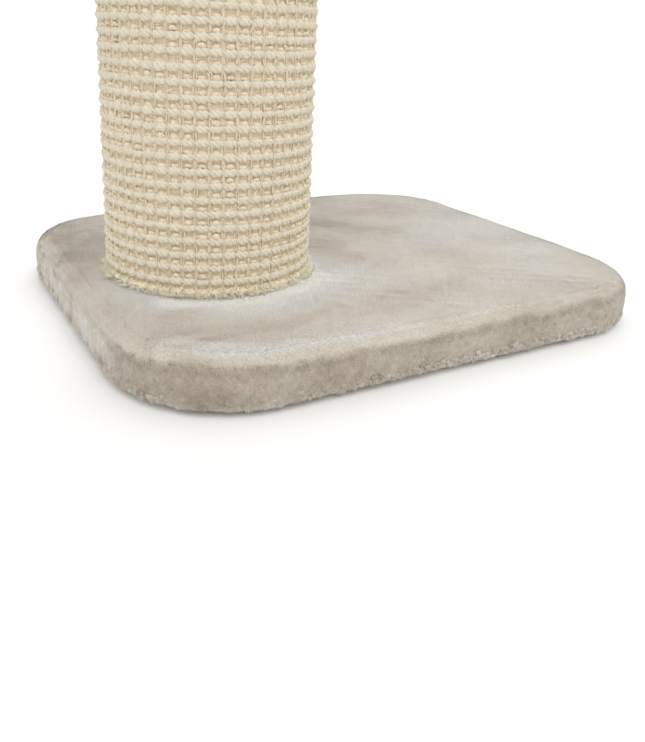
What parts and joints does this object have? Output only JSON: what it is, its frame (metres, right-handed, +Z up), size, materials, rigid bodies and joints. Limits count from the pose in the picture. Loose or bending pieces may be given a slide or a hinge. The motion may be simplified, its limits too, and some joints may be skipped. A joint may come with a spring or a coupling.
{
  "type": "cat tree",
  "caption": "Small cat tree: plush-covered base plate with large rounded corners, a thick scratching post in woven sisal cloth near one short side, and a matching plush perch on top.",
  "frame": {"origin": "middle of the base plate's underside, on the surface that the cat tree stands on", "axes": "+Z up along the post; +X along the long side of the base, from the post's end towards the free end; -Y is the front"},
  "size_m": [0.35, 0.3, 0.517],
  "materials": {
    "plush": "short brushed beige-grey plush pile with a soft nap",
    "sisal": "undyed sisal cloth in a thick ribbed weave, matt with a slight fibre sheen",
    "board": "raw chipboard, unvarnished",
    "cardboard": "spiral-wound grey-brown cardboard, matt",
    "felt": "thin needled felt, dark grey, matt",
    "steel": "zinc-plated steel, satin"
  },
  "bodies": {
    "root": {"base_board": "board", "base_cover": "plush", "base_felt": "felt", "base_staples": "steel", "base_bolt": "steel", "base_washer": "steel", "post_tube": "cardboard", "lower_plug": "board", "lower_nails": "steel", "lower_tee_nut": "steel", "upper_plug": "board", "upper_nails": "steel", "upper_tee_nut": "steel", "sisal_cloth": "sisal", "seam_staples": "steel", "perch_board": "board", "perch_cover": "plush", "perch_felt": "felt", "perch_staples": "steel", "perch_tee_nut": "steel", "perch_stud": "steel"}
  },
  "joints": []
}
